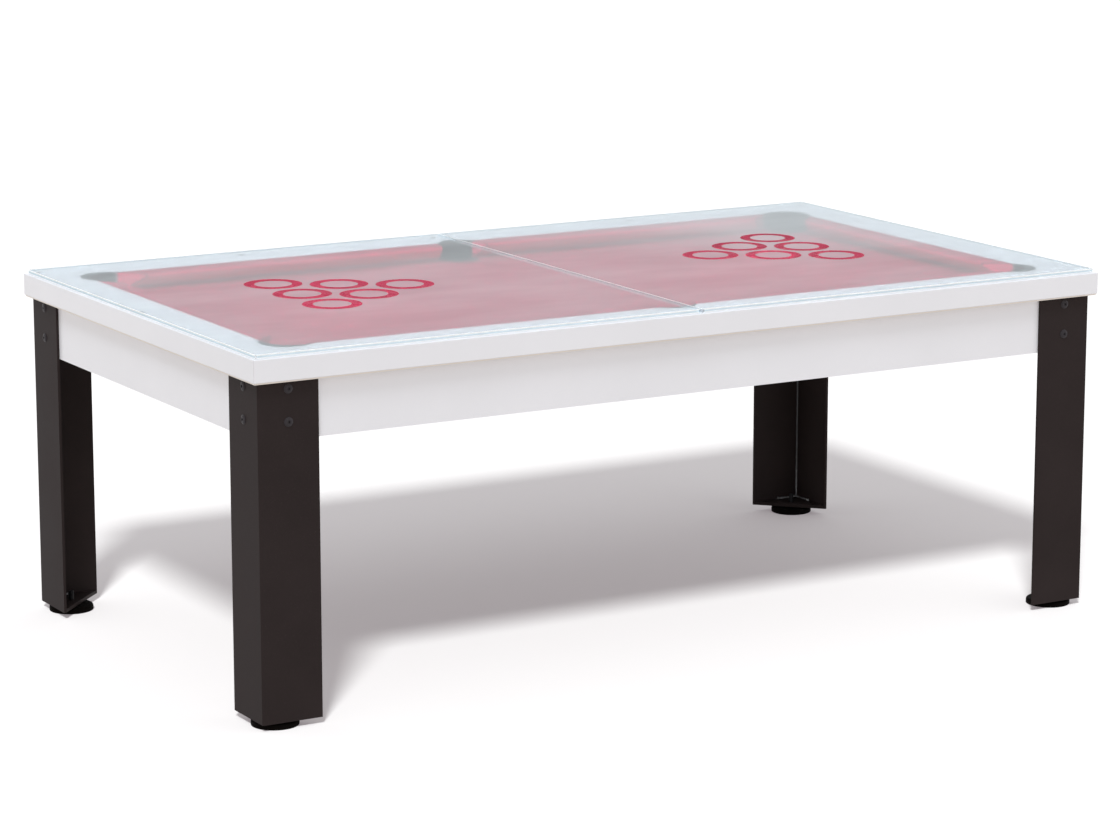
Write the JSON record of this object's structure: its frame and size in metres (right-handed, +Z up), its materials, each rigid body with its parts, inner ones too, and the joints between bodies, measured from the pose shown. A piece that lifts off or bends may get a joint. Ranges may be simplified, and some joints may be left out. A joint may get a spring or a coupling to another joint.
{
  "type": "convertible pool table",
  "caption": "Convertible pool and dining table: frosted glass leaves lift off a red-clothed slate bed with cushions and pockets, on bolted angle-steel legs.",
  "frame": {"origin": "on the floor, under the middle of the table", "axes": "+X along the table's length, +Y across it towards the back, +Z up"},
  "size_m": [2.1, 1.2, 0.782],
  "materials": {
    "frosted_glass": "satin etched face with clear windows, polished edges",
    "clear_bumper": "clear soft plastic",
    "white_lacquer": "white satin lacquer",
    "edge_board": "pale edge board, sealed",
    "red_cloth": "red billiard cloth",
    "facing_rubber": "matt",
    "pocket_liner": "moulded matt black",
    "slate": "ground slate",
    "bare_timber": "planed softwood",
    "black_bolt": "black oxide",
    "zinc_steel": "bright zinc",
    "black_powder_coat": "fine-grain black-brown powder coat",
    "pad_rubber": "matt black"
  },
  "bodies": {
    "table": {"apron_back": "white_lacquer", "apron_front": "white_lacquer", "apron_left": "white_lacquer", "apron_right": "white_lacquer", "bed_cloth": "red_cloth", "corner_blocks": "bare_timber", "cross_beam_left_inner": "bare_timber", "cross_beam_left_outer": "bare_timber", "cross_beam_right_inner": "bare_timber", "cross_beam_right_outer": "bare_timber", "cushion_back_left": "red_cloth", "cushion_back_right": "red_cloth", "cushion_front_left": "red_cloth", "cushion_front_right": "red_cloth", "cushion_left": "red_cloth", "cushion_right": "red_cloth", "edge_board_back": "edge_board", "edge_board_front": "edge_board", "edge_board_left": "edge_board", "edge_board_right": "edge_board", "foot_plate_back_left": "black_powder_coat", "foot_plate_back_right": "black_powder_coat", "foot_plate_front_left": "black_powder_coat", "foot_plate_front_right": "black_powder_coat", "ledger_back": "bare_timber", "ledger_front": "bare_timber", "ledger_left": "bare_timber", "ledger_right": "bare_timber", "leg_back_left": "black_powder_coat", "leg_back_right": "black_powder_coat", "leg_bolts": "black_bolt", "leg_front_left": "black_powder_coat", "leg_front_right": "black_powder_coat", "leg_nuts": "zinc_steel", "leg_washers": "zinc_steel", "pocket_back_left": "pocket_liner", "pocket_back_middle": "pocket_liner", "pocket_back_right": "pocket_liner", "pocket_facings": "facing_rubber", "pocket_front_left": "pocket_liner", "pocket_front_middle": "pocket_liner", "pocket_front_right": "pocket_liner", "rail_back": "white_lacquer", "rail_bolts": "zinc_steel", "rail_front": "white_lacquer", "rail_left": "white_lacquer", "rail_right": "white_lacquer", "slate_bed": "slate"},
    "leaf_left": {"glass_leaf_left": "frosted_glass", "leaf_bumpers_left": "clear_bumper"},
    "leaf_right": {"glass_leaf_right": "frosted_glass", "leaf_bumpers_right": "clear_bumper"},
    "foot_front_left": {"foot_pad_front_left": "pad_rubber"},
    "stud_front_left": {"foot_stud_front_left": "zinc_steel"},
    "foot_front_right": {"foot_pad_front_right": "pad_rubber"},
    "stud_front_right": {"foot_stud_front_right": "zinc_steel"},
    "foot_back_left": {"foot_pad_back_left": "pad_rubber"},
    "stud_back_left": {"foot_stud_back_left": "zinc_steel"},
    "foot_back_right": {"foot_pad_back_right": "pad_rubber"},
    "stud_back_right": {"foot_stud_back_right": "zinc_steel"}
  },
  "joints": [
    {"name": "leaf_left_lift", "type": "slide", "parent": "table", "child": "leaf_left", "axis": [0, 0, 1], "range_m": [0, 0.3]},
    {"name": "leaf_right_lift", "type": "slide", "parent": "table", "child": "leaf_right", "axis": [0, 0, 1], "range_m": [0, 0.3]},
    {"name": "foot_front_left_level", "type": "slide", "parent": "table", "child": "foot_front_left", "axis": [0, 0, -1], "range_m": [0, 0.02]},
    {"name": "stud_front_left_turn", "type": "hinge", "parent": "foot_front_left", "child": "stud_front_left", "pos_m": [-0.984, -0.534, 0.013], "axis": [0, 0, -1], "range_deg": [0, 4115]},
    {"name": "foot_front_right_level", "type": "slide", "parent": "table", "child": "foot_front_right", "axis": [0, 0, -1], "range_m": [0, 0.02]},
    {"name": "stud_front_right_turn", "type": "hinge", "parent": "foot_front_right", "child": "stud_front_right", "pos_m": [0.984, -0.534, 0.013], "axis": [0, 0, -1], "range_deg": [0, 4115]},
    {"name": "foot_back_left_level", "type": "slide", "parent": "table", "child": "foot_back_left", "axis": [0, 0, -1], "range_m": [0, 0.02]},
    {"name": "stud_back_left_turn", "type": "hinge", "parent": "foot_back_left", "child": "stud_back_left", "pos_m": [-0.984, 0.534, 0.013], "axis": [0, 0, -1], "range_deg": [0, 4115]},
    {"name": "foot_back_right_level", "type": "slide", "parent": "table", "child": "foot_back_right", "axis": [0, 0, -1], "range_m": [0, 0.02]},
    {"name": "stud_back_right_turn", "type": "hinge", "parent": "foot_back_right", "child": "stud_back_right", "pos_m": [0.984, 0.534, 0.013], "axis": [0, 0, -1], "range_deg": [0, 4115]}
  ],
  "couplings": [
    {"joint": "stud_front_left_turn", "follows": "foot_front_left_level", "rad_per_m": 3590.4},
    {"joint": "stud_front_right_turn", "follows": "foot_front_right_level", "rad_per_m": 3590.4},
    {"joint": "stud_back_left_turn", "follows": "foot_back_left_level", "rad_per_m": 3590.4},
    {"joint": "stud_back_right_turn", "follows": "foot_back_right_level", "rad_per_m": 3590.4}
  ]
}
